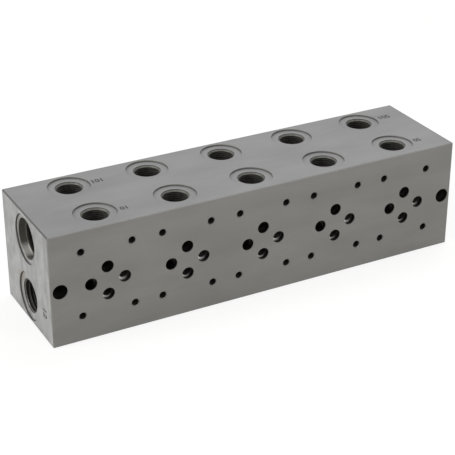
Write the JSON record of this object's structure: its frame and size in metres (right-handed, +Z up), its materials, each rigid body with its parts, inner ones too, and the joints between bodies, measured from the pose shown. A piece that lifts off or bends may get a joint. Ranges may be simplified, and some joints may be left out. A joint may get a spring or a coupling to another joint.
{
  "type": "hydraulic manifold block",
  "caption": "Drilled rectangular steel block that joins a row of directional valves to shared pressure and tank galleries, with threaded ports.",
  "frame": {"origin": "middle of the bottom face", "axes": "+X along the block's length, +Y from the valve face to the back face, +Z up to the work ports' face"},
  "size_m": [0.27, 0.07, 0.07],
  "materials": {
    "ground_steel": "ground and milled, oiled"
  },
  "bodies": {
    "root": {"manifold_block": "ground_steel"}
  },
  "joints": []
}
